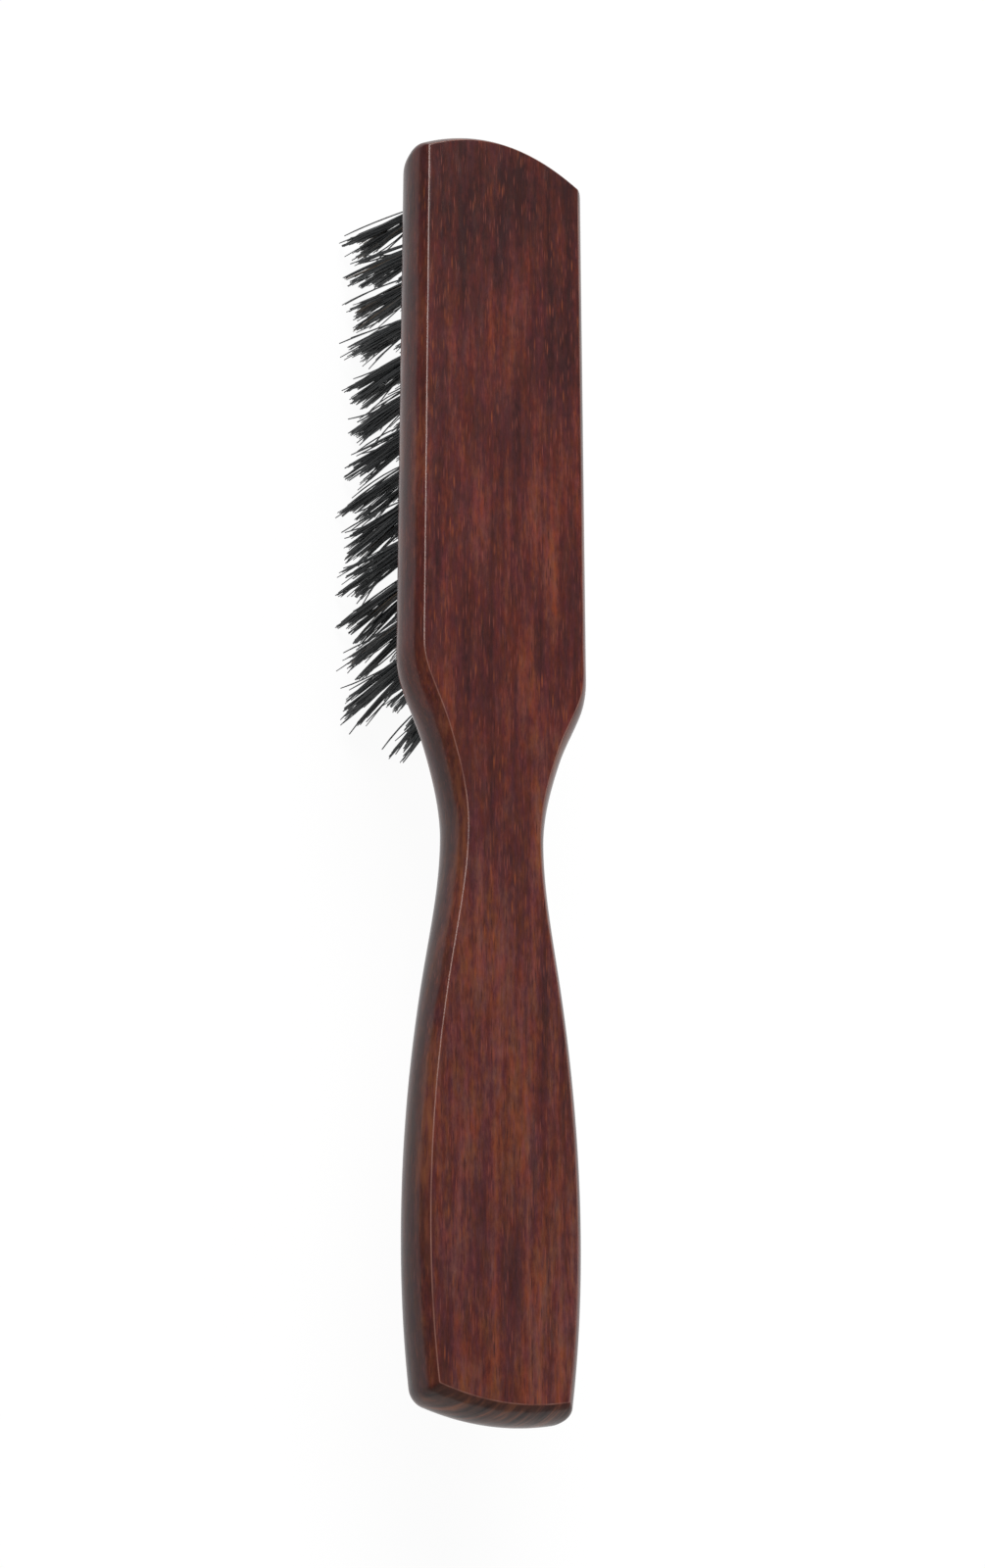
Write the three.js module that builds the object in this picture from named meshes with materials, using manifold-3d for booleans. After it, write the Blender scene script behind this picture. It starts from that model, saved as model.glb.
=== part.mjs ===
// Beard brush: a one-piece wooden body, and boar bristle tufts set in rows of blind holes.
// Units are millimetres. The brush stands on its bristle tips: the floor is z = 0, the flat back
// faces +Z, the head points to +Y, and the origin is below the middle of the brush's box.

import * as THREE from 'three';
import { mergeVertices } from 'three/addons/utils/BufferGeometryUtils.js';
import Module from 'manifold-3d';

const wasm = await Module();
wasm.setup();

// ---- Driving dimensions ----

const LENGTH = 200;
const BOARD_THICKNESS = 9.2;
const BRISTLE_LENGTH = 17; // from the wood to the floor
const BACK_HEIGHT = BRISTLE_LENGTH + BOARD_THICKNESS;

// The wall is one round in section. It starts at the crisp edge of the back, bulges out to the
// brush's widest level, and turns in under the board to the flat bristle face.
const WALL_RADIUS = 5.3;
const BACK_TANGENT = 49; // degrees of the round above the widest level
const WALL_STEPS = 8;

// Half of the back's width along the brush, from the butt: [distance, half width, slope].
const STATIONS = [
  [2, 9.11, 0.142], // butt
  [26.3, 10.73, 0], // palm swell
  [60, 8.2, -0.146], // flank of the handle
  [82.5, 5.53, 0], // neck
  [97, 8.38, 0.319], // below the shoulder
  [105, 11.63, 0.386], // shoulder
  [110.2, 12.55, 0], // from here the head is straight
];

// Both ends are shallow bows: the drop at a distance u from the centre line is bow * u^2.
const HEAD_BOW = 0.0255;
const BUTT_BOW = 0.0154;
// The back's corners are sharp. Their radius grows down the wall as far as the widest level.
const SHARP_CORNER = 0.2;
const HEAD_CORNER = 5;
const BUTT_CORNER = 2.6;

// How finely the outline is divided, in steps on each side.
const CORNER_STEPS = 4;
const BUTT_STEPS = 4;
const HANDLE_STEPS = 34;
const HEAD_SIDE_STEPS = 3;
const HEAD_END_STEPS = 5;

// Tufts: two outer rows of 13, and two inner rows of 13 that lie half a pitch nearer to the handle.
const TUFTS_IN_ROW = 13;
const TUFT_PITCH = 6.35;
const FIRST_TUFT = 189.8; // from the butt
const TUFT_ROWS = [
  { name: 'outer_left', x: -8.3, lean: -15, shift: 0 },
  { name: 'inner_left', x: -2.8, lean: -5, shift: 0.5 },
  { name: 'inner_right', x: 2.8, lean: 5, shift: 0.5 },
  { name: 'outer_right', x: 8.3, lean: 15, shift: 0 },
];
// The field is fanned: the tufts lean outwards, and more so towards the neck.
const HEAD_END_LEAN = 5;
const NECK_END_LEAN = -13;

const HOLE_DEPTH = 6;
const HOLE_RADIUS = 1.25;
const SHANK_RADIUS = 1.08; // the tuft inside its hole
const MOUTH_RADIUS = 1.15; // the tuft where it leaves the wood
const TIP_RADIUS = 2.8;
const HOLE_CLEARANCE = 0.3; // between a tuft's fold and the bottom of its hole
const CUTTER_PAST_FACE = 1;
const TUFT_WAIST = 0.55; // share of the bristle length where the flare starts to open faster
const WAIST_FLARE = 0.45; // share of the whole flare that is reached there
const TUFT_SIDES = 10;

// ---- Materials ----

const stainedBeech = new THREE.MeshStandardMaterial({ color: 0x532e2b, roughness: 0.45, metalness: 0 });
const blackBristle = new THREE.MeshStandardMaterial({ color: 0x1c1e20, roughness: 0.5, metalness: 0 });

// ---- Helpers ----

const radians = THREE.MathUtils.degToRad;

// How far the back's edge lies inside the widest outline.
const BACK_INSET = WALL_RADIUS * (1 - Math.cos(radians(BACK_TANGENT)));

// Half width of the back at a distance from the butt, and its slope: a smooth curve through the stations.
function halfWidth(distance) {
  const last = STATIONS.length - 1;
  if (distance >= STATIONS[last][0]) {
    return { width: STATIONS[last][1], slope: 0 };
  }
  let i = 0;
  while (distance > STATIONS[i + 1][0]) {
    i += 1;
  }
  const [start, startWidth, startSlope] = STATIONS[i];
  const [end, endWidth, endSlope] = STATIONS[i + 1];
  const span = end - start;
  const t = (distance - start) / span;
  const rise = 3 * t ** 2 - 2 * t ** 3;
  return {
    width:
      startWidth +
      (endWidth - startWidth) * rise +
      (t ** 3 - 2 * t ** 2 + t) * span * startSlope +
      (t ** 3 - t ** 2) * span * endSlope,
    slope:
      ((endWidth - startWidth) * 6 * (t - t ** 2)) / span +
      (3 * t ** 2 - 4 * t + 1) * startSlope +
      (3 * t ** 2 - 2 * t) * endSlope,
  };
}

// The side of the outline, moved out by a bulge along its own normal.
function sidePoint(distance, bulge) {
  const { width, slope } = halfWidth(distance);
  return new THREE.Vector2(width + bulge * Math.hypot(1, slope), distance);
}

// An end of the outline, moved out by a bulge: the butt's when outwards is -1, the head's when it is 1.
function endPoint(u, bulge, outwards) {
  const bow = outwards > 0 ? HEAD_BOW : BUTT_BOW;
  const middle = outwards > 0 ? LENGTH - BACK_INSET : BACK_INSET;
  const drop = bow * u * u - bulge * Math.hypot(1, 2 * bow * u);
  return new THREE.Vector2(u, middle - outwards * drop);
}

// A corner's round from the end's normal to the side's. Softness is 0 at the back, 1 at the widest level.
function cornerPoints(bulge, softness, outwards) {
  let corner = new THREE.Vector2(halfWidth(BACK_INSET).width, 0);
  for (let i = 0; i < 3; i += 1) {
    corner = endPoint(corner.x, 0, outwards);
    corner.x = halfWidth(corner.y).width;
  }
  const bow = outwards > 0 ? HEAD_BOW : BUTT_BOW;
  const endNormal = new THREE.Vector2(2 * bow * corner.x, outwards).normalize();
  const sideNormal = new THREE.Vector2(1, -halfWidth(corner.y).slope).normalize();
  const mitre = endNormal.clone().add(sideNormal);
  mitre.divideScalar(1 + endNormal.dot(sideNormal));
  const radius = THREE.MathUtils.lerp(SHARP_CORNER, outwards > 0 ? HEAD_CORNER : BUTT_CORNER, softness);
  const centre = corner.clone().addScaledVector(mitre, bulge - radius);
  const from = Math.atan2(endNormal.y, endNormal.x);
  const to = Math.atan2(sideNormal.y, sideNormal.x);
  const points = [];
  for (let i = 0; i <= CORNER_STEPS; i += 1) {
    const angle = THREE.MathUtils.lerp(from, to, i / CORNER_STEPS);
    points.push(new THREE.Vector2(Math.cos(angle), Math.sin(angle)).multiplyScalar(radius).add(centre));
  }
  return points;
}

// The right half of the outline, from the middle of the butt to that of the head.
function rightOutline(bulge, softness) {
  const buttCorner = cornerPoints(bulge, softness, -1);
  const headCorner = cornerPoints(bulge, softness, 1).reverse();
  const points = [];
  for (let i = 0; i < BUTT_STEPS; i += 1) {
    points.push(endPoint((buttCorner[0].x * i) / BUTT_STEPS, bulge, -1));
  }
  points.push(...buttCorner);

  const buttY = buttCorner[CORNER_STEPS].y;
  const headY = headCorner[0].y;
  const straightStart = STATIONS[STATIONS.length - 1][0];
  for (let i = 1; i <= HANDLE_STEPS; i += 1) {
    points.push(sidePoint(THREE.MathUtils.lerp(buttY, straightStart, i / HANDLE_STEPS), bulge));
  }
  for (let i = 1; i < HEAD_SIDE_STEPS; i += 1) {
    points.push(sidePoint(THREE.MathUtils.lerp(straightStart, headY, i / HEAD_SIDE_STEPS), bulge));
  }
  points.push(...headCorner);
  for (let i = HEAD_END_STEPS - 1; i >= 0; i -= 1) {
    points.push(endPoint((headCorner[CORNER_STEPS].x * i) / HEAD_END_STEPS, bulge, 1));
  }
  return points;
}

// The whole outline, anticlockwise seen from above, centred on the middle of the brush.
function outline(bulge, softness) {
  const right = rightOutline(bulge, softness);
  const left = right.slice(1, -1).reverse();
  const points = [...right, ...left.map((p) => new THREE.Vector2(-p.x, p.y))];
  return points.map((p) => new THREE.Vector2(p.x, p.y - LENGTH / 2));
}

// A closed solid through rings of equally many points, each ring flat and above the one before it.
function loft(rings) {
  const count = rings[0].length;
  const positions = rings.flat().flatMap((p) => [p.x, p.y, p.z]);
  const index = [];
  for (let r = 0; r < rings.length - 1; r += 1) {
    for (let i = 0; i < count; i += 1) {
      const a = r * count + i;
      const b = r * count + ((i + 1) % count);
      index.push(a, b, b + count, a, b + count, a + count);
    }
  }
  const cap = (ring) => THREE.ShapeUtils.triangulateShape(ring.map((p) => new THREE.Vector2(p.x, p.y)), []);
  const top = (rings.length - 1) * count;
  for (const [a, b, c] of cap(rings[0])) {
    index.push(a, c, b);
  }
  for (const [a, b, c] of cap(rings[rings.length - 1])) {
    index.push(top + a, top + b, top + c);
  }
  const geometry = new THREE.BufferGeometry();
  geometry.setAttribute('position', new THREE.Float32BufferAttribute(positions, 3));
  geometry.setIndex(index);
  return geometry;
}

function toManifold(geometry) {
  const bare = geometry.clone();
  bare.deleteAttribute('normal');
  bare.deleteAttribute('uv');
  const merged = mergeVertices(bare);
  return new wasm.Manifold(
    new wasm.Mesh({
      numProp: 3,
      vertProperties: new Float32Array(merged.attributes.position.array),
      triVerts: new Uint32Array(merged.index.array),
    }),
  );
}

function fromManifold(solid) {
  const mesh = solid.getMesh();
  const geometry = new THREE.BufferGeometry();
  geometry.setAttribute('position', new THREE.BufferAttribute(mesh.vertProperties, mesh.numProp));
  geometry.setIndex(new THREE.BufferAttribute(mesh.triVerts, 1));
  return geometry;
}

function named(name, geometry, material) {
  geometry.computeVertexNormals();
  const mesh = new THREE.Mesh(geometry, material);
  mesh.name = name;
  return mesh;
}

// ---- Tufts and their holes ----

// Where a tuft stands: its place on the bristle face, and how far it moves for each mm that it drops.
function tuftPlaces() {
  const places = [];
  for (const row of TUFT_ROWS) {
    for (let k = 0; k < TUFTS_IN_ROW; k += 1) {
      const steps = k + row.shift;
      const share = steps / (TUFTS_IN_ROW - 0.5);
      const lean = THREE.MathUtils.lerp(HEAD_END_LEAN, NECK_END_LEAN, share);
      places.push({
        name: `tuft_${row.name}_${String(k + 1).padStart(2, '0')}`,
        x: row.x,
        y: FIRST_TUFT - TUFT_PITCH * steps - LENGTH / 2,
        perDropX: Math.tan(radians(row.lean)),
        perDropY: Math.tan(radians(lean)),
      });
    }
  }
  return places;
}

// A leaning round solid at a tuft's place, through [drop below the bristle face, radius] pairs.
function leaningSolid(place, profile) {
  const rings = profile.map(([drop, radius]) => {
    const ring = [];
    for (let i = 0; i < TUFT_SIDES; i += 1) {
      const angle = (2 * Math.PI * i) / TUFT_SIDES;
      ring.push(
        new THREE.Vector3(
          place.x + place.perDropX * drop + radius * Math.cos(angle),
          place.y + place.perDropY * drop + radius * Math.sin(angle),
          BRISTLE_LENGTH - drop,
        ),
      );
    }
    return ring;
  });
  return loft(rings.reverse());
}

function tuft(place) {
  const profile = [
    [HOLE_CLEARANCE - HOLE_DEPTH, SHANK_RADIUS],
    [0, MOUTH_RADIUS],
    [TUFT_WAIST * BRISTLE_LENGTH, THREE.MathUtils.lerp(MOUTH_RADIUS, TIP_RADIUS, WAIST_FLARE)],
    [BRISTLE_LENGTH, TIP_RADIUS],
  ];
  return named(place.name, leaningSolid(place, profile), blackBristle);
}

function hole(place) {
  const profile = [
    [-HOLE_DEPTH, HOLE_RADIUS],
    [CUTTER_PAST_FACE, HOLE_RADIUS],
  ];
  return toManifold(leaningSolid(place, profile));
}

// ---- Wooden body ----

function body(places) {
  const backAngle = radians(BACK_TANGENT);
  const faceAngle = -Math.asin(BOARD_THICKNESS / WALL_RADIUS - Math.sin(backAngle));
  const rings = [];
  for (let i = 0; i <= WALL_STEPS; i += 1) {
    const angle = THREE.MathUtils.lerp(faceAngle, backAngle, i / WALL_STEPS);
    const bulge = WALL_RADIUS * (Math.cos(angle) - Math.cos(backAngle));
    const height = BACK_HEIGHT - WALL_RADIUS * (Math.sin(backAngle) - Math.sin(angle));
    const softness = 1 - Math.max(Math.sin(angle), 0) / Math.sin(backAngle);
    rings.push(outline(bulge, softness).map((p) => new THREE.Vector3(p.x, p.y, height)));
  }
  let solid = toManifold(loft(rings));
  for (const place of places) {
    solid = solid.subtract(hole(place));
  }
  return named('wooden_body', fromManifold(solid), stainedBeech);
}

// ---- The brush ----

const places = tuftPlaces();
const brush = new THREE.Group();
brush.name = 'beard_brush';
brush.add(body(places));
for (const place of places) {
  brush.add(tuft(place));
}

export default brush;
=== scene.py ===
"""Beard brush: the visual model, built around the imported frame.

The wooden body is a fine loft with drilled holes. Each tuft is a bundle of single bristles, folded in two
round a flat wire anchor in its hole. Lengths are in metres.
"""

import math
import random

import bmesh
import bpy
from mathutils import Matrix, Vector


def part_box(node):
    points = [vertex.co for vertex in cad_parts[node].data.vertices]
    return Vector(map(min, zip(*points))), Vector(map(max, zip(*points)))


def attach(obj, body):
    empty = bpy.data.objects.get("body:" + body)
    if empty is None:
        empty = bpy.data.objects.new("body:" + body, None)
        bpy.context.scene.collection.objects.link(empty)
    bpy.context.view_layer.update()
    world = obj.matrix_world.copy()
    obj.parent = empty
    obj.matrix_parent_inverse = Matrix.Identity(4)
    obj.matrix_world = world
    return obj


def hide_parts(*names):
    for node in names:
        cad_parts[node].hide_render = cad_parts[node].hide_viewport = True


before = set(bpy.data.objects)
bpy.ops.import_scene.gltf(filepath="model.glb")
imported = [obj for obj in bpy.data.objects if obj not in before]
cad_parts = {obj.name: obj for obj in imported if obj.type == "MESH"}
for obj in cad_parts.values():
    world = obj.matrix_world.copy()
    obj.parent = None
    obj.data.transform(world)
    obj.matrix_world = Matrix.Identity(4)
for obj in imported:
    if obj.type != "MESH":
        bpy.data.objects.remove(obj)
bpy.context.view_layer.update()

MM = 0.001
MM_IN_A_METRE = (1000.0, 1000.0, 1000.0)
BODY = "root"
SEED = 3

# ---- Places taken from the frame ----

body_low, body_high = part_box("wooden_body")
FACE_Z = body_low.z  # the bristle face
BACK_Z = body_high.z  # the flat back
BUTT_Y = body_low.y
HEAD_Y = body_high.y
LENGTH = HEAD_Y - BUTT_Y


# ---- Dimensions of the wood, the same as in the CAD model ----

# The wall is one round in section, from the crisp edge of the back to the flat bristle face.
WALL_RADIUS = 5.3 * MM
BACK_TANGENT = math.radians(49)  # of the round above the widest level
FACE_TANGENT = math.asin((BACK_Z - FACE_Z) / WALL_RADIUS - math.sin(BACK_TANGENT))
BACK_INSET = WALL_RADIUS * (1 - math.cos(BACK_TANGENT))  # of the back's edge inside the widest outline

# Half of the back's width along the brush, from the butt in mm: (distance, half width, slope).
STATIONS = (
    (2.0, 9.11, 0.142),
    (26.3, 10.73, 0.0),
    (60.0, 8.2, -0.146),
    (82.5, 5.53, 0.0),
    (97.0, 8.38, 0.319),
    (105.0, 11.63, 0.386),
    (110.2, 12.55, 0.0),
)
NECK_Y = BUTT_Y + STATIONS[3][0] * MM
SHOULDER_Y = BUTT_Y + STATIONS[5][0] * MM
# An end's drop is its bow times the square of the distance from the middle.
HEAD_BOW = 0.0255 / MM
BUTT_BOW = 0.0154 / MM
# The back's corners are sharp. Their radius grows down the wall as far as the widest level.
SHARP_CORNER = 0.2 * MM
HEAD_CORNER = 5.0 * MM
BUTT_CORNER = 2.6 * MM
HOLE_RADIUS = 1.25 * MM
HOLE_DEPTH = 6.0 * MM
RIM_CHAMFER = 0.12 * MM

# How finely the outline is divided.
END_STEPS = 16
CORNER_STEPS = 10
HANDLE_STEPS = 150
HEAD_STEPS = 60


def half_width(distance):
    """Half width of the back at a distance from the butt, and its slope."""
    mm = distance / MM
    if mm >= STATIONS[-1][0]:
        return STATIONS[-1][1] * MM, 0.0
    i = 0
    while mm > STATIONS[i + 1][0]:
        i += 1
    start, start_width, start_slope = STATIONS[i]
    end, end_width, end_slope = STATIONS[i + 1]
    span = end - start
    t = (mm - start) / span
    rise = end_width - start_width
    width = start_width + rise * (3 * t**2 - 2 * t**3)
    width += (t**3 - 2 * t**2 + t) * span * start_slope + (t**3 - t**2) * span * end_slope
    slope = rise * 6 * (t - t**2) / span
    slope += (3 * t**2 - 4 * t + 1) * start_slope + (3 * t**2 - 2 * t) * end_slope
    return width * MM, slope


def side_point(distance, bulge):
    """A point of the side, moved out by the bulge along its normal."""
    width, slope = half_width(distance)
    return Vector((width + bulge * math.hypot(1, slope), distance))


class End:
    """The butt, with outwards -1, or the head's end, with outwards 1."""

    def __init__(self, outwards, bow, soft_corner):
        self.outwards = outwards
        self.bow = bow
        self.soft_corner = soft_corner
        self.middle = LENGTH - BACK_INSET if outwards > 0 else BACK_INSET

    def point(self, u, bulge):
        drop = self.bow * u * u - bulge * math.hypot(1, 2 * self.bow * u)
        return Vector((u, self.middle - self.outwards * drop))

    def corner(self, bulge, softness):
        """The corner's round, from the end's normal to the side's."""
        corner = Vector((half_width(BACK_INSET)[0], 0))
        for _ in range(3):
            corner = self.point(corner.x, 0)
            corner.x = half_width(corner.y)[0]
        end_normal = Vector((2 * self.bow * corner.x, self.outwards)).normalized()
        side_normal = Vector((1, -half_width(corner.y)[1])).normalized()
        mitre = (end_normal + side_normal) / (1 + end_normal.dot(side_normal))
        radius = SHARP_CORNER + (self.soft_corner - SHARP_CORNER) * softness
        centre = corner + mitre * (bulge - radius)
        start = math.atan2(end_normal.y, end_normal.x)
        turn = math.atan2(side_normal.y, side_normal.x) - start
        angles = [start + turn * i / CORNER_STEPS for i in range(CORNER_STEPS + 1)]
        return [centre + radius * Vector((math.cos(a), math.sin(a))) for a in angles]


BUTT = End(-1, BUTT_BOW, BUTT_CORNER)
HEAD = End(1, HEAD_BOW, HEAD_CORNER)


def outline(bulge, softness):
    """The whole outline, anticlockwise from above. Softness is 0 at the back and 1 at the widest level."""
    butt_corner = BUTT.corner(bulge, softness)
    head_corner = HEAD.corner(bulge, softness)[::-1]
    right = [BUTT.point(butt_corner[0].x * i / END_STEPS, bulge) for i in range(END_STEPS)]
    right += butt_corner
    low, high = butt_corner[-1].y, head_corner[0].y
    straight = STATIONS[-1][0] * MM
    for i in range(1, HANDLE_STEPS + 1):
        right.append(side_point(low + (straight - low) * i / HANDLE_STEPS, bulge))
    for i in range(1, HEAD_STEPS):
        right.append(side_point(straight + (high - straight) * i / HEAD_STEPS, bulge))
    right += head_corner
    right += [HEAD.point(head_corner[-1].x * i / END_STEPS, bulge) for i in reversed(range(END_STEPS))]
    left = [Vector((-p.x, p.y)) for p in reversed(right[1:-1])]
    return [Vector((p.x, p.y + BUTT_Y)) for p in right + left]


# ---- Small helpers ----


def finished(name, mesh, material):
    """Links a mesh as a piece of the brush that rides on its body."""
    obj = bpy.data.objects.new(name, mesh)
    bpy.context.scene.collection.objects.link(obj)
    mesh.materials.append(material)
    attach(obj, BODY)
    return obj


class Nodes:
    """A short way to write a node tree."""

    def __init__(self, owner):
        owner.use_nodes = True
        self.tree = owner.node_tree
        self.tree.nodes.clear()

    def add(self, kind, inputs=None, **settings):
        node = self.tree.nodes.new(kind)
        for key, value in settings.items():
            setattr(node, key, value)
        for key, value in (inputs or {}).items():
            self.set(node, key, value)
        return node

    def set(self, node, key, value):
        socket = node.inputs[key]
        if isinstance(value, bpy.types.NodeSocket):
            self.tree.links.new(value, socket)
        else:
            socket.default_value = value

    def math(self, operation, a, b=0.0):
        return self.add("ShaderNodeMath", {0: a, 1: b}, operation=operation).outputs[0]

    def weighted(self, *terms):
        """The sum of (value, weight) pairs."""
        total = 0.0
        for value, weight in terms:
            node = self.add("ShaderNodeMath", {0: value, 1: weight, 2: total}, operation="MULTIPLY_ADD")
            total = node.outputs[0]
        return total

    def noise(self, vector, detail=2.0, roughness=0.5):
        inputs = {"Vector": vector, "Scale": 1.0, "Detail": detail, "Roughness": roughness}
        return self.add("ShaderNodeTexNoise", inputs).outputs["Fac"]

    def cells(self, vector):
        """Distance to the middle of the nearest random cell, and a random value of that cell."""
        node = self.add("ShaderNodeTexVoronoi", {"Vector": vector, "Scale": 1.0})
        kind = self.add("ShaderNodeSeparateColor", {0: node.outputs["Color"]})
        return node.outputs["Distance"], kind.outputs[0]

    def stretched(self, vector, scale, offset=(0.0, 0.0, 0.0)):
        inputs = {"Vector": vector, "Location": offset, "Scale": scale}
        return self.add("ShaderNodeMapping", inputs).outputs[0]

    def remap(self, value, low, high, to_low=0.0, to_high=1.0):
        inputs = {
            "Value": value,
            "From Min": low,
            "From Max": high,
            "To Min": to_low,
            "To Max": to_high,
        }
        return self.add("ShaderNodeMapRange", inputs).outputs[0]

    def mix(self, factor, a, b, blend="MIX"):
        node = self.add("ShaderNodeMix", data_type="RGBA", blend_type=blend)
        self.set(node, "Factor", factor)
        for socket, value in ((node.inputs[6], a), (node.inputs[7], b)):
            if isinstance(value, bpy.types.NodeSocket):
                self.tree.links.new(value, socket)
            else:
                socket.default_value = value
        return node.outputs[2]


def new_material(name):
    material = bpy.data.materials.new(name)
    return material, Nodes(material)


def rgb(r, g, b):
    """An 8-bit sRGB colour as linear RGBA."""

    def linear(c):
        c /= 255
        return c / 12.92 if c <= 0.04045 else ((c + 0.055) / 1.055) ** 2.4

    return (linear(r), linear(g), linear(b), 1.0)


# ---- Materials ----

# The heart of the tree, which the growth rings run round, lies outside the stick: (x, z) in mm.
PITH = (-22.0, 40.0)
RING_RADIUS = 28.0  # of the rings in the middle of the stick, in mm

# The colour gets darker over this stretch of the head, from its start to its end, before the head's end.
DARKER_FROM = 92 * MM
DARKER_TO = 8 * MM


def along_the_rings(n, mm):
    """Coordinates of the grown wood in mm: out from the pith, along the brush, and round the pith."""
    place = n.add("ShaderNodeSeparateXYZ", {0: mm}).outputs
    x = n.math("SUBTRACT", place["X"], PITH[0])
    z = n.math("SUBTRACT", place["Z"], PITH[1])
    reach = n.math("SQRT", n.weighted((x, x), (z, z)))
    arc = n.math("MULTIPLY", n.math("ARCTAN2", z, x), RING_RADIUS)
    return n.add("ShaderNodeCombineXYZ", {0: reach, 1: place["Y"], 2: arc}).outputs[0]


def stained_beech():
    material, n = new_material("stained_beech")
    place = n.add("ShaderNodeTexCoord").outputs["Object"]
    mm = n.stretched(place, MM_IN_A_METRE)
    grain = along_the_rings(n, mm)

    # The grain runs along the brush: growth rings as long soft bands, streaks, and short fibres.
    rings = n.noise(n.stretched(grain, (0.75, 0.03, 0.08)), detail=1.5)
    streaks = n.noise(n.stretched(grain, (1.8, 0.09, 0.5), offset=(4.0, 0.0, 2.0)), detail=2.0)
    short = n.stretched(grain, (4.0, 0.8, 2.0), offset=(2.0, 6.0, 7.0))
    fibres = n.noise(short, detail=3.0, roughness=0.72)
    # The stain takes unevenly from place to place, more on the head. The colour is darker towards the
    # head's end.
    patches = n.noise(n.stretched(mm, (0.11, 0.04, 0.11), offset=(3.0, 5.0, 1.0)), detail=3.0)
    mottle = n.noise(n.stretched(mm, (0.8, 0.45, 0.8), offset=(7.0, 2.0, 5.0)), detail=3.0)
    along = n.add("ShaderNodeSeparateXYZ", {0: place}).outputs["Y"]
    uneven = n.remap(along, NECK_Y, SHOULDER_Y, 0.5, 1.0)
    patches = n.math("MULTIPLY", n.math("SUBTRACT", patches, 0.5), uneven)
    head_end = n.math("POWER", n.remap(along, HEAD_Y - DARKER_FROM, HEAD_Y - DARKER_TO), 1.3)
    tone = n.weighted((rings, 0.72), (streaks, 0.44), (fibres, 0.50), (patches, 1.0))
    tone = n.weighted((tone, 1.0), (mottle, 0.40), (head_end, -0.24))
    ramp = n.add("ShaderNodeValToRGB", {"Fac": n.remap(tone, 0.65, 1.35)})
    ramp.color_ramp.elements[0].color = rgb(49, 12, 12)
    ramp.color_ramp.elements[1].color = rgb(122, 60, 45)
    ramp.color_ramp.elements.new(0.5).color = rgb(82, 32, 29)
    # Some places and fibres are more orange, others more maroon.
    warm_places = n.noise(n.stretched(grain, (0.40, 0.07, 0.3), offset=(1.0, 7.0, 3.0)), detail=4.0)
    warm_fibres = n.noise(n.stretched(grain, (2.2, 0.4, 1.2), offset=(5.0, 3.0, 9.0)), detail=2.0)
    warmth = n.weighted((warm_places, 0.55), (warm_fibres, 0.6))
    warm = n.mix(n.remap(warmth, 0.46, 0.70), (0.91, 1.0, 1.36, 1.0), (1.08, 0.97, 0.53, 1.0))
    colour = n.mix(1.0, ramp.outputs[0], warm, blend="MULTIPLY")
    # Some places are redder, others browner.
    brown_places = n.noise(n.stretched(grain, (0.9, 0.2, 0.5), offset=(8.0, 4.0, 6.0)), detail=3.0)
    brown = n.mix(n.remap(brown_places, 0.36, 0.64), (1.04, 0.86, 0.97, 1.0), (0.96, 1.14, 1.03, 1.0))
    colour = n.mix(1.0, colour, brown, blend="MULTIPLY")
    # The handle is painted greyer and the head a little redder: a painted sheen of reflected light on the
    # handle.
    painted_sheen_share = n.remap(along, NECK_Y, SHOULDER_Y, 1.0, 0.0)
    painted_sheen_tint = n.mix(painted_sheen_share, (1.0, 0.96, 0.92, 1.0), (0.98, 1.12, 1.14, 1.0))
    colour = n.mix(1.0, colour, painted_sheen_tint, blend="MULTIPLY")

    # Single fibres show as fine light and dark dashes.
    light_fibres, light_kind = n.cells(n.stretched(grain, (3.5, 0.26, 2.0), offset=(3.0, 4.0, 8.0)))
    light = n.math("MULTIPLY", n.remap(light_fibres, 0.14, 0.34, 0.55, 0.0), n.remap(light_kind, 0.3, 0.8))
    colour = n.mix(light, colour, rgb(134, 68, 55))
    dark_fibres, dark_kind = n.cells(n.stretched(grain, (3.2, 0.26, 1.9), offset=(2.0, 9.0, 5.0)))
    dark = n.math("MULTIPLY", n.remap(dark_fibres, 0.14, 0.34, 0.75, 0.0), n.remap(dark_kind, 0.3, 0.8))
    colour = n.mix(dark, colour, rgb(50, 16, 17))
    # The wood's rays end on the surface as short spindles, orange where the stain takes them less.
    rays, ray_kind = n.cells(n.stretched(grain, (2.6, 0.26, 1.3), offset=(7.0, 1.0, 4.0)))
    drifts = n.noise(n.stretched(mm, (0.20, 0.05, 0.2), offset=(9.0, 2.0, 6.0)), detail=2.0)
    orange = n.math("MULTIPLY", n.remap(rays, 0.12, 0.36, 0.85, 0.0), n.remap(ray_kind, 0.35, 0.9))
    orange = n.math("MULTIPLY", orange, n.remap(drifts, 0.42, 0.62, 0.2, 0.9))
    colour = n.mix(orange, colour, rgb(134, 66, 32))

    # The rounded wall is painted darker than the flat faces, and darkest on the handle: painted shade,
    # deeper the more the surface turns from level.
    facing = n.add("ShaderNodeSeparateXYZ", {0: n.add("ShaderNodeNewGeometry").outputs["Normal"]})
    level = n.math("ABSOLUTE", facing.outputs["Z"])
    painted_shade_strength = n.remap(along, NECK_Y, SHOULDER_Y, 0.60, 0.34)
    painted_wall_shade = n.math("MULTIPLY", n.remap(level, 0.2, 0.86, 1.0, 0.0), painted_shade_strength)
    colour = n.mix(painted_wall_shade, colour, (0.004, 0.004, 0.004, 1.0))
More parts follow.
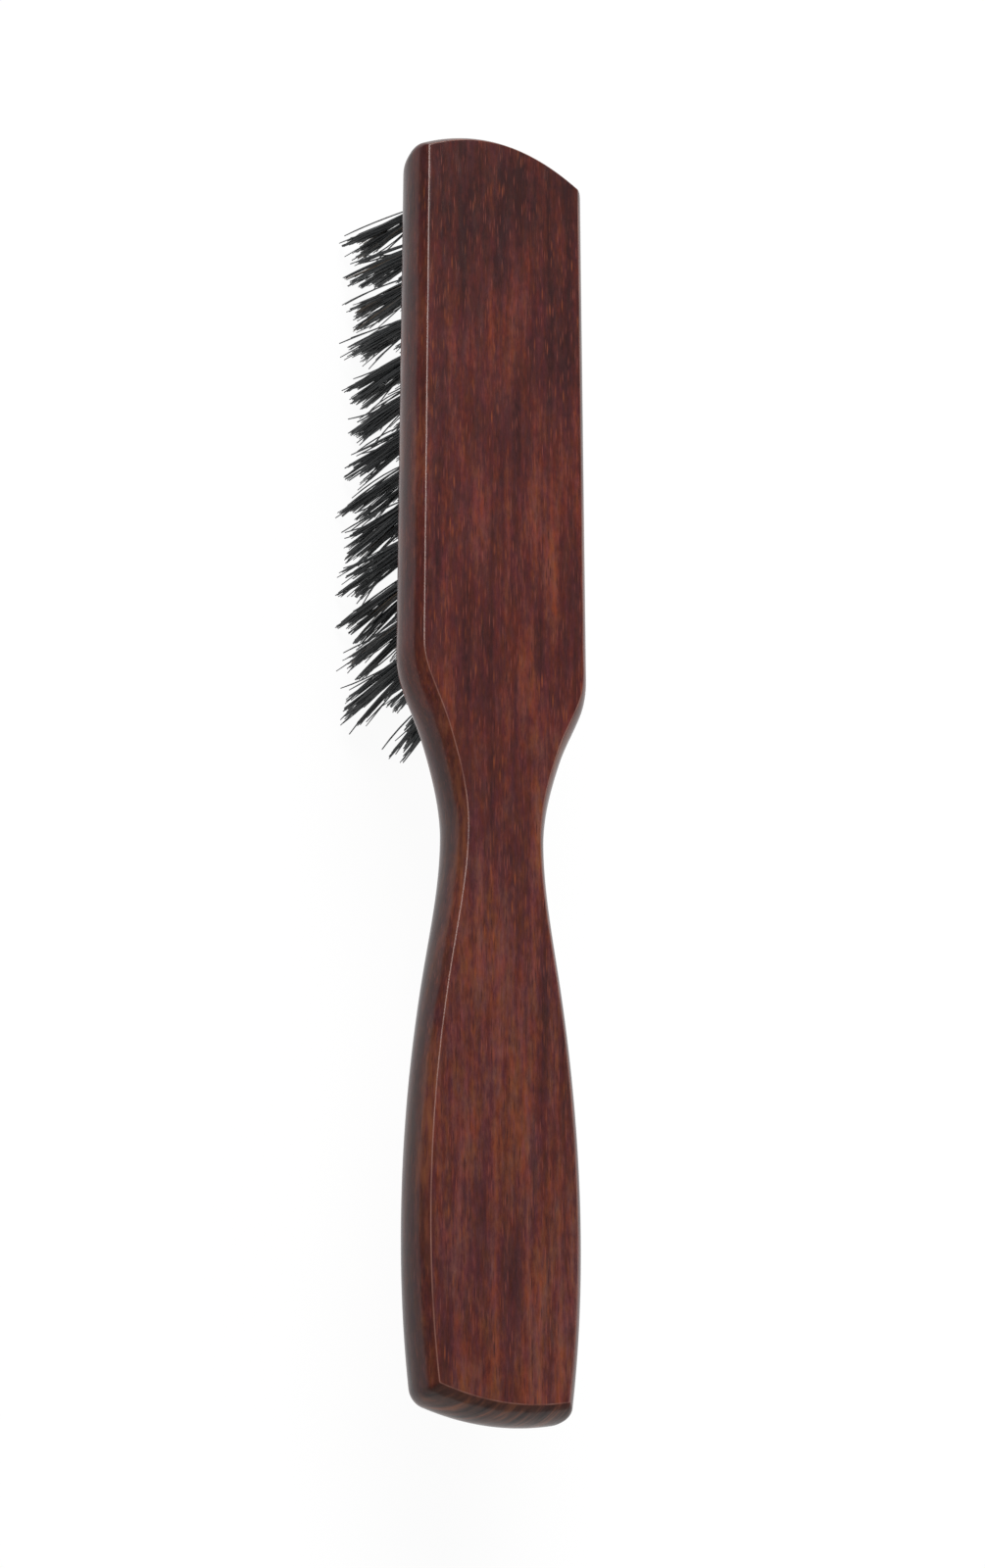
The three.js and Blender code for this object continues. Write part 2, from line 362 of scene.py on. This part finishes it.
    # Just below the crisp edge it is rubbed thin in places, and the brown wood shows through.
    below_edge = n.math("MULTIPLY", n.remap(level, 0.35, 0.62), n.remap(level, 0.93, 0.80))
    rubbing = n.noise(n.stretched(mm, (1.6, 0.24, 1.6), offset=(6.0, 3.0, 2.0)), detail=4.0)
    rubbed_places = n.noise(n.stretched(mm, (0.1, 0.05, 0.1), offset=(2.0, 8.0, 1.0)), detail=1.0)
    rubbed = n.math("MULTIPLY", n.remap(rubbing, 0.40, 0.66, 0.1, 0.8), n.remap(rubbed_places, 0.45, 0.64))
    colour = n.mix(n.math("MULTIPLY", rubbed, below_edge), colour, rgb(124, 70, 42))

    # End grain drinks more stain, and shows the rings as dark and light streaks.
    end_grain = n.remap(n.math("ABSOLUTE", facing.outputs["Y"]), 0.45, 0.85)
    across = n.stretched(grain, (1.4, 0.3, 0.16), offset=(1.0, 2.0, 8.0))
    layers = n.noise(across, detail=4.0, roughness=0.6)
    end_colour = n.add("ShaderNodeValToRGB", {"Fac": n.remap(layers, 0.32, 0.72)})
    end_colour.color_ramp.elements[0].color = rgb(47, 30, 28)
    end_colour.color_ramp.elements[1].color = rgb(136, 84, 60)
    end_colour.color_ramp.elements.new(0.55).color = rgb(86, 57, 49)
    colour = n.mix(end_grain, colour, end_colour.outputs[0])

    # The crisp edge is painted pale: partly rubbed wear, partly a painted highlight.
    worn = n.add("ShaderNodeAttribute", attribute_name="worn").outputs["Fac"]
    rub_and_highlight = n.noise(n.stretched(mm, (0.5, 0.12, 0.5)), detail=2.0)
    worn = n.math("MULTIPLY", worn, n.remap(rub_and_highlight, 0.3, 0.65, 0.3, 0.95))
    colour = n.mix(worn, colour, rgb(142, 98, 86))

    # The lacquer is glossy and follows the hand-sanded, slightly uneven wood.
    height = n.math("SUBTRACT", n.math("MULTIPLY", fibres, 0.6), dark)
    bump = n.add("ShaderNodeBump", {"Height": height, "Strength": 0.25, "Distance": 0.02 * MM})
    waves = n.noise(n.stretched(mm, (0.35, 0.10, 0.35)), detail=2.0)
    lacquer = n.add("ShaderNodeBump", {"Height": waves, "Strength": 0.4, "Distance": 0.25 * MM})
    shader = n.add(
        "ShaderNodeBsdfPrincipled",
        {
            "Base Color": colour,
            "Roughness": 0.6,
            "Specular IOR Level": 0.05,
            "Normal": bump.outputs[0],
            "Coat Weight": 0.62,
            "Coat Roughness": 0.17,
            "Coat Normal": lacquer.outputs[0],
        },
    )
    n.add("ShaderNodeOutputMaterial", {0: shader.outputs[0]})
    return material


def boar_bristle():
    material, n = new_material("boar_bristle")
    place = n.add("ShaderNodeTexCoord").outputs["Object"]
    mm = n.stretched(place, MM_IN_A_METRE)
    tone = n.add("ShaderNodeAttribute", attribute_name="tone").outputs["Fac"]
    patchy = n.noise(n.stretched(mm, (4.0, 4.0, 0.5)), detail=2.0)
    black = n.mix(patchy, (0.0030, 0.0045, 0.0062, 1.0), (0.0095, 0.016, 0.021, 1.0))
    brown = n.mix(patchy, rgb(70, 52, 34), rgb(132, 104, 66))
    colour = n.mix(tone, black, brown)
    rough = n.remap(patchy, 0.3, 0.7, 0.28, 0.42)
    shader = n.add("ShaderNodeBsdfPrincipled", {"Base Color": colour, "Roughness": rough})
    n.add("ShaderNodeOutputMaterial", {0: shader.outputs[0]})
    return material


def anchor_wire():
    material, n = new_material("anchor_wire")
    place = n.add("ShaderNodeTexCoord").outputs["Object"]
    drawn = n.noise(n.stretched(place, (600.0, 9000.0, 9000.0)), detail=2.0)
    colour = n.mix(drawn, (0.45, 0.44, 0.42, 1.0), (0.66, 0.65, 0.63, 1.0))
    rough = n.remap(drawn, 0.3, 0.7, 0.28, 0.45)
    shader = n.add(
        "ShaderNodeBsdfPrincipled", {"Base Color": colour, "Roughness": rough, "Metallic": 1.0}
    )
    n.add("ShaderNodeOutputMaterial", {0: shader.outputs[0]})
    return material


def pale_floor():
    material, n = new_material("pale_floor")
    shader = n.add(
        "ShaderNodeBsdfPrincipled",
        {
            "Base Color": (0.06, 0.06, 0.06, 1.0),
            "Roughness": 0.9,
            "Specular IOR Level": 0.0,
            "Emission Color": (1.0, 1.0, 1.0, 1.0),
            "Emission Strength": 0.95,
        },
    )
    n.add("ShaderNodeOutputMaterial", {0: shader.outputs[0]})
    return material


# ---- Tufts: where the CAD has them ----

SAME_LEVEL = 0.01 * MM  # points this close in height belong to one end of a tuft


class Tuft:
    """A tuft's centre line, from its CAD node: its mouth on the bristle face, and its drift as it drops."""

    def __init__(self, name):
        self.name = name
        points = [v.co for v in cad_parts[name].data.vertices]
        low = min(p.z for p in points)
        high = max(p.z for p in points)
        tip = self.middle([p for p in points if p.z < low + SAME_LEVEL])
        fold = self.middle([p for p in points if p.z > high - SAME_LEVEL])
        self.drift = (tip - fold) / (fold.z - tip.z)
        self.mouth = tip - self.drift * (FACE_Z - tip.z)
        self.drop = FACE_Z - low

    @staticmethod
    def middle(points):
        return sum(points, Vector()) / len(points)

    def at(self, drop):
        """The centre line at a drop below the bristle face, negative inside the wood."""
        return self.mouth + self.drift * drop


tufts = [Tuft(name) for name in sorted(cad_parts) if name.startswith("tuft_")]


# ---- Wooden body ----

HOLE_SIDES = 24
WALL_STEPS = 28
EDGE_STEPS = 4
EDGE_BREAK = 0.13 * MM  # how far the crisp edge's tiny round reaches on each side of the edge
FLAT_BAND = 0.35 * MM  # a narrow flat strip inside each face, so that the shading stays flat there
SHARP_ANGLE = math.radians(35)  # edges that turn more than this are drawn sharp


def wall_ring(angle):
    """Bulge, height and softness at an angle of the wall's round, above the widest level."""
    bulge = WALL_RADIUS * (math.cos(angle) - math.cos(BACK_TANGENT))
    height = BACK_Z - WALL_RADIUS * (math.sin(BACK_TANGENT) - math.sin(angle))
    softness = 1 - max(math.sin(angle), 0) / math.sin(BACK_TANGENT)
    return bulge, height, softness


def body_rings():
    """Rings from the bristle face up to the back: (bulge, height, softness, and the crisp edge's paleness,
    partly wear and partly painted highlight).
    """
    first_bulge, first_height, softness = wall_ring(-FACE_TANGENT)
    rings = [(first_bulge - FLAT_BAND, first_height, softness, 0.0)]
    last = BACK_TANGENT - EDGE_BREAK / WALL_RADIUS
    for i in range(WALL_STEPS + 1):
        angle = -FACE_TANGENT + (last + FACE_TANGENT) * i / WALL_STEPS
        rings.append((*wall_ring(angle), 0.0))
    bulge, height, softness = wall_ring(last)
    for i in range(1, EDGE_STEPS + 1):
        t = i / EDGE_STEPS
        rings.append(
            (
                bulge * (1 - t) ** 2 - EDGE_BREAK * t**2,
                BACK_Z - (BACK_Z - height) * (1 - t) ** 2,
                softness * (1 - t),
                math.sin(math.pi * t),
            )
        )
    rings.append((-EDGE_BREAK - FLAT_BAND, BACK_Z, 0.0, 0.0))
    return rings


def add_ring(bm, points):
    return [bm.verts.new(p) for p in points]


def bridge(bm, lower, upper):
    """Faces between two rings. They face outwards if the rings run anticlockwise seen from above."""
    count = len(lower)
    for i in range(count):
        j = (i + 1) % count
        bm.faces.new((lower[i], lower[j], upper[j], upper[i]))


def ring_edges(bm, ring):
    return [bm.edges.get((ring[i - 1], ring[i])) for i in range(len(ring))]


def circle(centre, radius, height, sides):
    points = []
    for i in range(sides):
        angle = 2 * math.pi * i / sides
        points.append(
            Vector((centre.x + radius * math.cos(angle), centre.y + radius * math.sin(angle), height))
        )
    return points


def drill(bm, tuft):
    """A blind hole with a small chamfer. Gives the ring where it meets the bristle face."""
    rim = add_ring(bm, circle(tuft.at(0), HOLE_RADIUS + RIM_CHAMFER, FACE_Z, HOLE_SIDES))
    steps = (RIM_CHAMFER, HOLE_DEPTH * 0.5, HOLE_DEPTH)
    last = rim
    for depth in steps:
        ring = add_ring(bm, circle(tuft.at(-depth), HOLE_RADIUS, FACE_Z + depth, HOLE_SIDES))
        bridge(bm, ring, last)
        last = ring
    bm.faces.new(reversed(last))
    return rim


def wooden_body(material):
    bm = bmesh.new()
    # The crisp edge's paleness, partly wear and partly painted highlight, kept on each vertex.
    worn = bm.verts.layers.float.new("worn")
    rings = []
    for bulge, height, softness, rub_and_highlight in body_rings():
        ring = add_ring(bm, [Vector((p.x, p.y, height)) for p in outline(bulge, softness)])
        for vert in ring:
            vert[worn] = rub_and_highlight
        if rings:
            bridge(bm, rings[-1], ring)
        rings.append(ring)
    bm.faces.new(rings[-1])
    edges = ring_edges(bm, rings[0])
    for tuft in tufts:
        edges += ring_edges(bm, drill(bm, tuft))
    bmesh.ops.triangle_fill(bm, edges=edges, use_beauty=True, normal=Vector((0, 0, -1)))
    bmesh.ops.recalc_face_normals(bm, faces=bm.faces)
    for face in bm.faces:
        face.smooth = True
    mesh = bpy.data.meshes.new("wooden_body_fine")
    bm.to_mesh(mesh)
    bm.free()
    mesh.set_sharp_from_angle(angle=SHARP_ANGLE)
    obj = finished("brush_body", mesh, material)
    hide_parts("wooden_body")


# ---- Bristles ----

BRISTLES = 42  # in a tuft, each folded in two
BRISTLE_RADIUS = 0.11 * MM
BRISTLE_SIDES = 5
BRISTLE_WIDTHS = (0.75, 1.15)  # shares of the radius
TIP_TAPER = 0.7
LEG_STEPS = 7
PACK_RADIUS = 1.0 * MM  # of the bundle inside its hole
WIRE_DEPTH = 4.7 * MM
WIRE_THICK = 0.3 * MM
WIRE_TALL = 1.1 * MM
WIRE_BITE = 0.2 * MM
WIRE_BREAK = 0.06 * MM  # of the wire's edges
FOLD_REACH = 0.5 * MM  # how far the folds lie above the wire at most
FOLD_SHARES = (0.6, 1.0)  # of that reach
LEG_GAP = 0.45 * MM  # of each leg from the middle of the wire, at least
LEG_CLOSING = 0.8  # how far the legs draw in towards the wire, as a share of their place in the bundle
BUNDLE_DEPTH = 0.4 * WIRE_DEPTH  # where the bundle has its full width
LOCKS = 10  # groups of bristles that cling together in a tuft
FAN_RADIUS = 2.4 * MM  # how far the locks spread at the floor
LOCK_RADIUS = 0.45 * MM
LOCK_SHORT = 1.5  # spread of how much shorter a lock is, in mm
BRISTLE_SHORT = 0.9  # spread of how much shorter a bristle is than its lock, in mm
FLOOR_GAP = 0.03 * MM  # the least between a tip's centre and the floor
BOW = 0.35 * MM  # how far a bristle bends aside half way down
OPENING = 1.2  # power of the way down: the bundle stays closed at first and opens near its tips
TUFT_SWAY = 0.8 * MM  # how far a whole tuft's tips stray from the even rows
TUFT_SPREADS = (0.8, 1.15)  # how wide a tuft opens, as shares of the fan
LOCK_CHOICE = (0.5, 1.5)  # how freely a bristle joins a lock other than the nearest
STRAY_SHARE = 0.13
STRAY_BOW = 1.1 * MM
STRAY_REACH = 3.0 * MM
STRAY_SHORT = (-0.5, 1.5)  # how much shorter a stray is, in mm
TIP_REACH = 3.3 * MM  # no tip lies farther from its tuft's centre line
BROWN_SHARE = 0.025
BLACK_TONES = (0.0, 0.05)
BROWN_TONES = (0.35, 1.0)


def random_in_disc(rng, radius):
    angle = rng.uniform(0, 2 * math.pi)
    reach = radius * math.sqrt(rng.random())
    return Vector((reach * math.cos(angle), reach * math.sin(angle), 0))


class Lock:
    """Bristles of a tuft that end close together."""

    def __init__(self, rng, sway, spread):
        place = random_in_disc(rng, 1.0)
        self.root = place * PACK_RADIUS
        self.tip = place * FAN_RADIUS * spread + sway
        self.short = abs(rng.gauss(0.0, LOCK_SHORT)) * MM


def leg_points(tuft, side, locks, rng):
    """One leg of a bristle from the anchor to its tip. Side is -1 or 1, for the side of the wire."""
    mouth = random_in_disc(rng, PACK_RADIUS)
    mouth.y = side * abs(mouth.y)
    lock = min(locks, key=lambda each: (each.root - mouth).length * rng.uniform(*LOCK_CHOICE))
    tip = lock.tip + random_in_disc(rng, LOCK_RADIUS)
    short = lock.short + abs(rng.gauss(0.0, BRISTLE_SHORT)) * MM
    opening = OPENING
    bow = random_in_disc(rng, BOW)
    if rng.random() < STRAY_SHARE:
        tip += random_in_disc(rng, STRAY_REACH)
        short += rng.uniform(*STRAY_SHORT) * MM
        opening = 1.0
        bow = random_in_disc(rng, STRAY_BOW)
    if tip.length > TIP_REACH:
        tip.length = TIP_REACH
    reach = tuft.drop - max(short, FLOOR_GAP)
    turn = tuft.at(-WIRE_DEPTH - WIRE_TALL / 2)  # where the leg turns round the wire
    points = [turn + Vector((mouth.x, side * max(abs(mouth.y) * LEG_CLOSING, LEG_GAP), 0))]
    points.append(tuft.at(-BUNDLE_DEPTH) + mouth)
    for i in range(LEG_STEPS + 1):
        t = i / LEG_STEPS
        offset = mouth.lerp(tip, t**opening) + bow * (4 * t * (1 - t))
        points.append(tuft.at(reach * t) + offset)
    return points


def tube(path, radii, verts, faces):
    """Adds a closed tube round a path that never runs along the X axis."""
    sides = BRISTLE_SIDES
    first = len(verts)
    count = len(path)
    for i, point in enumerate(path):
        tangent = (path[min(i + 1, count - 1)] - path[max(i - 1, 0)]).normalized()
        one = tangent.cross(Vector((1, 0, 0))).normalized()
        two = tangent.cross(one)
        for k in range(sides):
            angle = 2 * math.pi * k / sides
            verts.append(point + (one * math.cos(angle) + two * math.sin(angle)) * radii[i])
    for i in range(count - 1):
        for k in range(sides):
            a = first + i * sides + k
            b = first + i * sides + (k + 1) % sides
            faces.append((a, b, b + sides, a + sides))
    faces.append(tuple(first + k for k in reversed(range(sides))))
    faces.append(tuple(first + (count - 1) * sides + k for k in range(sides)))


def bristle_tuft(tuft, material, rng):
    sway = random_in_disc(rng, TUFT_SWAY)
    spread = rng.uniform(*TUFT_SPREADS)
    locks = [Lock(rng, sway, spread) for _ in range(LOCKS)]
    verts, faces, tones = [], [], []
    for _ in range(BRISTLES):
        first = leg_points(tuft, -1, locks, rng)
        second = leg_points(tuft, 1, locks, rng)
        turn_depth = WIRE_DEPTH + WIRE_TALL / 2
        depth = turn_depth + rng.uniform(*FOLD_SHARES) * FOLD_REACH
        fold = tuft.at(-depth) + Vector((first[0].x - tuft.at(-turn_depth).x, 0, 0))
        path = first[::-1] + [fold] + second
        radii = [BRISTLE_RADIUS * rng.uniform(*BRISTLE_WIDTHS)] * len(path)
        radii[0] *= TIP_TAPER
        radii[-1] *= TIP_TAPER
        start = len(verts)
        tube(path, radii, verts, faces)
        tone = rng.uniform(*(BROWN_TONES if rng.random() < BROWN_SHARE else BLACK_TONES))
        tones += [tone] * (len(verts) - start)
    mesh = bpy.data.meshes.new(tuft.name)
    mesh.from_pydata(verts, [], faces)
    mesh.attributes.new("tone", "FLOAT", "POINT").data.foreach_set("value", tones)
    mesh.shade_smooth()
    obj = finished(tuft.name.replace("tuft", "bristles"), mesh, material)
    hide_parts(tuft.name)


def anchor(tuft, material):
    """A flat wire across the folds, leaning with its hole. Its ends bite into the sides of the hole."""
    half = Vector((HOLE_RADIUS + WIRE_BITE, WIRE_THICK / 2, WIRE_TALL / 2))
    bm = bmesh.new()
    bmesh.ops.create_cube(bm, size=2.0)
    bmesh.ops.scale(bm, vec=half, verts=bm.verts)
    bmesh.ops.bevel(bm, geom=list(bm.edges), offset=WIRE_BREAK, segments=2, affect="EDGES", profile=0.5)
    for vert in bm.verts:
        x, y, rise = vert.co
        vert.co = tuft.at(-WIRE_DEPTH - rise) + Vector((x, y, 0))
    mesh = bpy.data.meshes.new("anchor")
    bm.to_mesh(mesh)
    bm.free()
    finished(tuft.name.replace("tuft", "anchor"), mesh, material)


# ---- Stage ----

CAMERA_PLACE = Vector((-0.2023, -0.2363, 0.4242))
CAMERA_AIM = Vector((-0.0019, -0.0106, 0.0262))
CAMERA_UP = Vector((-0.2039, 0.8921, 0.4033))
LENS = 83.32
SENSOR_WIDTH = 36
ROOM_LIGHT = 0.25
FLOOR_HALF = 3.0
KEY_PLACE = (-0.3, 1.7, 1.6)
KEY_POWER = 64.0
FILL_PLACE = (1.8, 0.15, 1.35)
FILL_POWER = 9.0
LIGHT_SIZE = 1.7


def camera():
    forward = (CAMERA_AIM - CAMERA_PLACE).normalized()
    right = forward.cross(CAMERA_UP).normalized()
    up = right.cross(forward)
    data = bpy.data.cameras.new("camera")
    data.lens = LENS
    data.sensor_width = SENSOR_WIDTH
    data.clip_start = 0.01
    data.clip_end = 10
    obj = bpy.data.objects.new("camera", data)
    turn = Matrix((right, up, -forward)).transposed().to_4x4()
    obj.matrix_world = Matrix.Translation(CAMERA_PLACE) @ turn
    bpy.context.scene.collection.objects.link(obj)
    bpy.context.scene.camera = obj


def soft_light(name, place, size, power):
    data = bpy.data.lights.new(name, "AREA")
    data.shape = "SQUARE"
    data.size = size
    data.energy = power
    obj = bpy.data.objects.new(name, data)
    obj.location = place
    obj.rotation_mode = "QUATERNION"
    obj.rotation_quaternion = (-Vector(place)).to_track_quat("-Z", "Y")
    bpy.context.scene.collection.objects.link(obj)


def studio():
    """A dim, even light from all round, in front of a white backdrop."""
    world = bpy.data.worlds.new("studio")
    bpy.context.scene.world = world
    n = Nodes(world)
    backdrop = n.add("ShaderNodeLightPath").outputs["Is Camera Ray"]
    strength = n.remap(backdrop, 0.0, 1.0, ROOM_LIGHT, 1.0)
    background = n.add("ShaderNodeBackground", {"Color": (1.0, 1.0, 1.0, 1.0), "Strength": strength})
    n.add("ShaderNodeOutputWorld", {"Surface": background.outputs[0]})


def stage():
    camera()
    mesh = bpy.data.meshes.new("floor")
    half = FLOOR_HALF
    corners = [(-half, -half, 0), (half, -half, 0), (half, half, 0), (-half, half, 0)]
    mesh.from_pydata(corners, [], [(0, 1, 2, 3)])
    mesh.materials.append(pale_floor())
    floor = bpy.data.objects.new("floor", mesh)
    bpy.context.scene.collection.objects.link(floor)
    soft_light("key", KEY_PLACE, LIGHT_SIZE, KEY_POWER)
    soft_light("fill", FILL_PLACE, LIGHT_SIZE, FILL_POWER)
    studio()
    bpy.context.scene.view_settings.view_transform = "Standard"


# ---- The brush ----

stage()
wooden_body(stained_beech())
bristle_material = boar_bristle()
wire_material = anchor_wire()
rng = random.Random(SEED)
for each in tufts:
    bristle_tuft(each, bristle_material, rng)
    anchor(each, wire_material)
